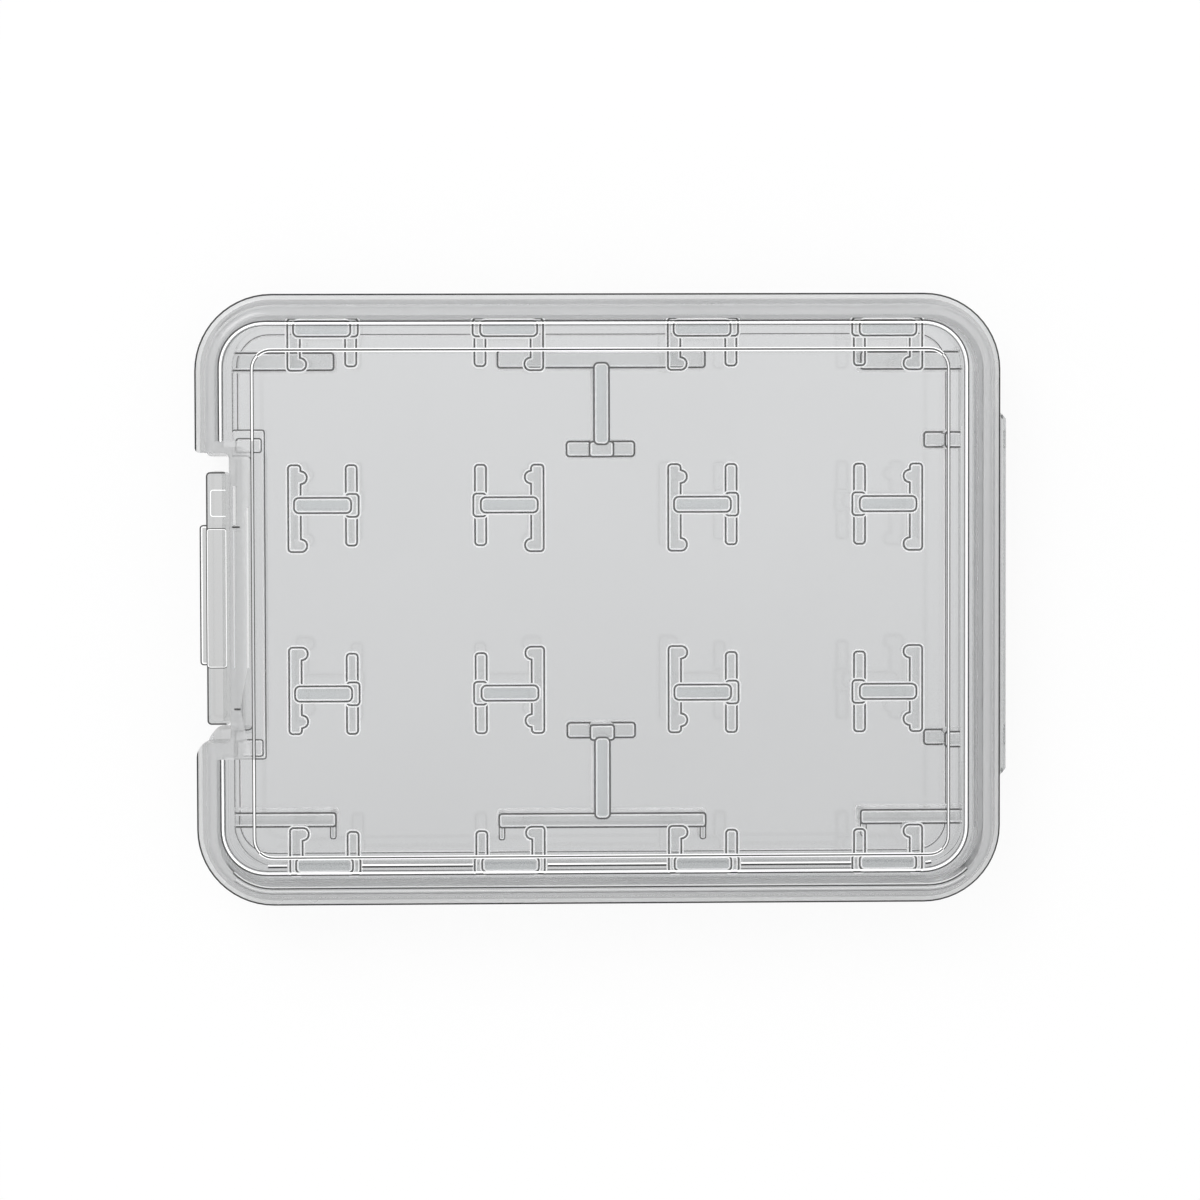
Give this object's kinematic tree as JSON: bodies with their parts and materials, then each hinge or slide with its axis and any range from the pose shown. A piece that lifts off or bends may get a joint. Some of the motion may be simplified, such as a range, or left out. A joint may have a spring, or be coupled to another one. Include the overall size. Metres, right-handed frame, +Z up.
{
  "type": "memory card case",
  "caption": "Flat clear clamshell case for memory cards: clips for small cards in the lid, dividers for full-size cards in the base, a web hinge on one side and a sprung latch on the other.",
  "frame": {"origin": "on the table under the middle of the closed case", "axes": "+X towards the hinge side, +Y across the case, +Z up through the lid"},
  "size_m": [0.0594, 0.0448, 0.009],
  "materials": {
    "base_plastic": "clear, slightly milky",
    "lid_plastic": "clear, slightly milky",
    "clip_plastic": "clear, slightly milky",
    "divider_plastic": "clear, slightly milky",
    "latch_plastic": "clear, slightly milky",
    "web_plastic": "clear, slightly milky"
  },
  "bodies": {
    "base": {"base_tray": "base_plastic", "divider_top": "divider_plastic", "divider_bottom": "divider_plastic", "corner_bracket_top_left": "divider_plastic", "corner_bracket_top_right": "divider_plastic", "corner_bracket_bottom_left": "divider_plastic", "corner_bracket_bottom_right": "divider_plastic", "side_stop_top": "divider_plastic", "side_stop_bottom": "divider_plastic", "latch_keeper": "divider_plastic", "hinge_web": "web_plastic"},
    "lid": {"lid_cover": "lid_plastic", "row_clip_top_1": "clip_plastic", "row_clip_top_2": "clip_plastic", "row_clip_top_3": "clip_plastic", "row_clip_top_4": "clip_plastic", "row_clip_bottom_1": "clip_plastic", "row_clip_bottom_2": "clip_plastic", "row_clip_bottom_3": "clip_plastic", "row_clip_bottom_4": "clip_plastic", "wall_clip_top_1": "clip_plastic", "wall_clip_top_2": "clip_plastic", "wall_clip_top_3": "clip_plastic", "wall_clip_top_4": "clip_plastic", "wall_clip_bottom_1": "clip_plastic", "wall_clip_bottom_2": "clip_plastic", "wall_clip_bottom_3": "clip_plastic", "wall_clip_bottom_4": "clip_plastic"},
    "latch": {"latch_tongue": "latch_plastic"}
  },
  "joints": [
    {"name": "lid_hinge", "type": "hinge", "parent": "base", "child": "lid", "pos_m": [0.0297, 0.0003, 0.0045], "axis": [0, 1, 0], "range_deg": [0, 180], "deforming": ["hinge_web"]},
    {"name": "latch_flex", "type": "hinge", "parent": "lid", "child": "latch", "pos_m": [-0.02695, 0, 0.008], "axis": [0, 1, 0], "range_deg": [0, 8], "stiffness_Nm_per_rad": 0.05}
  ]
}
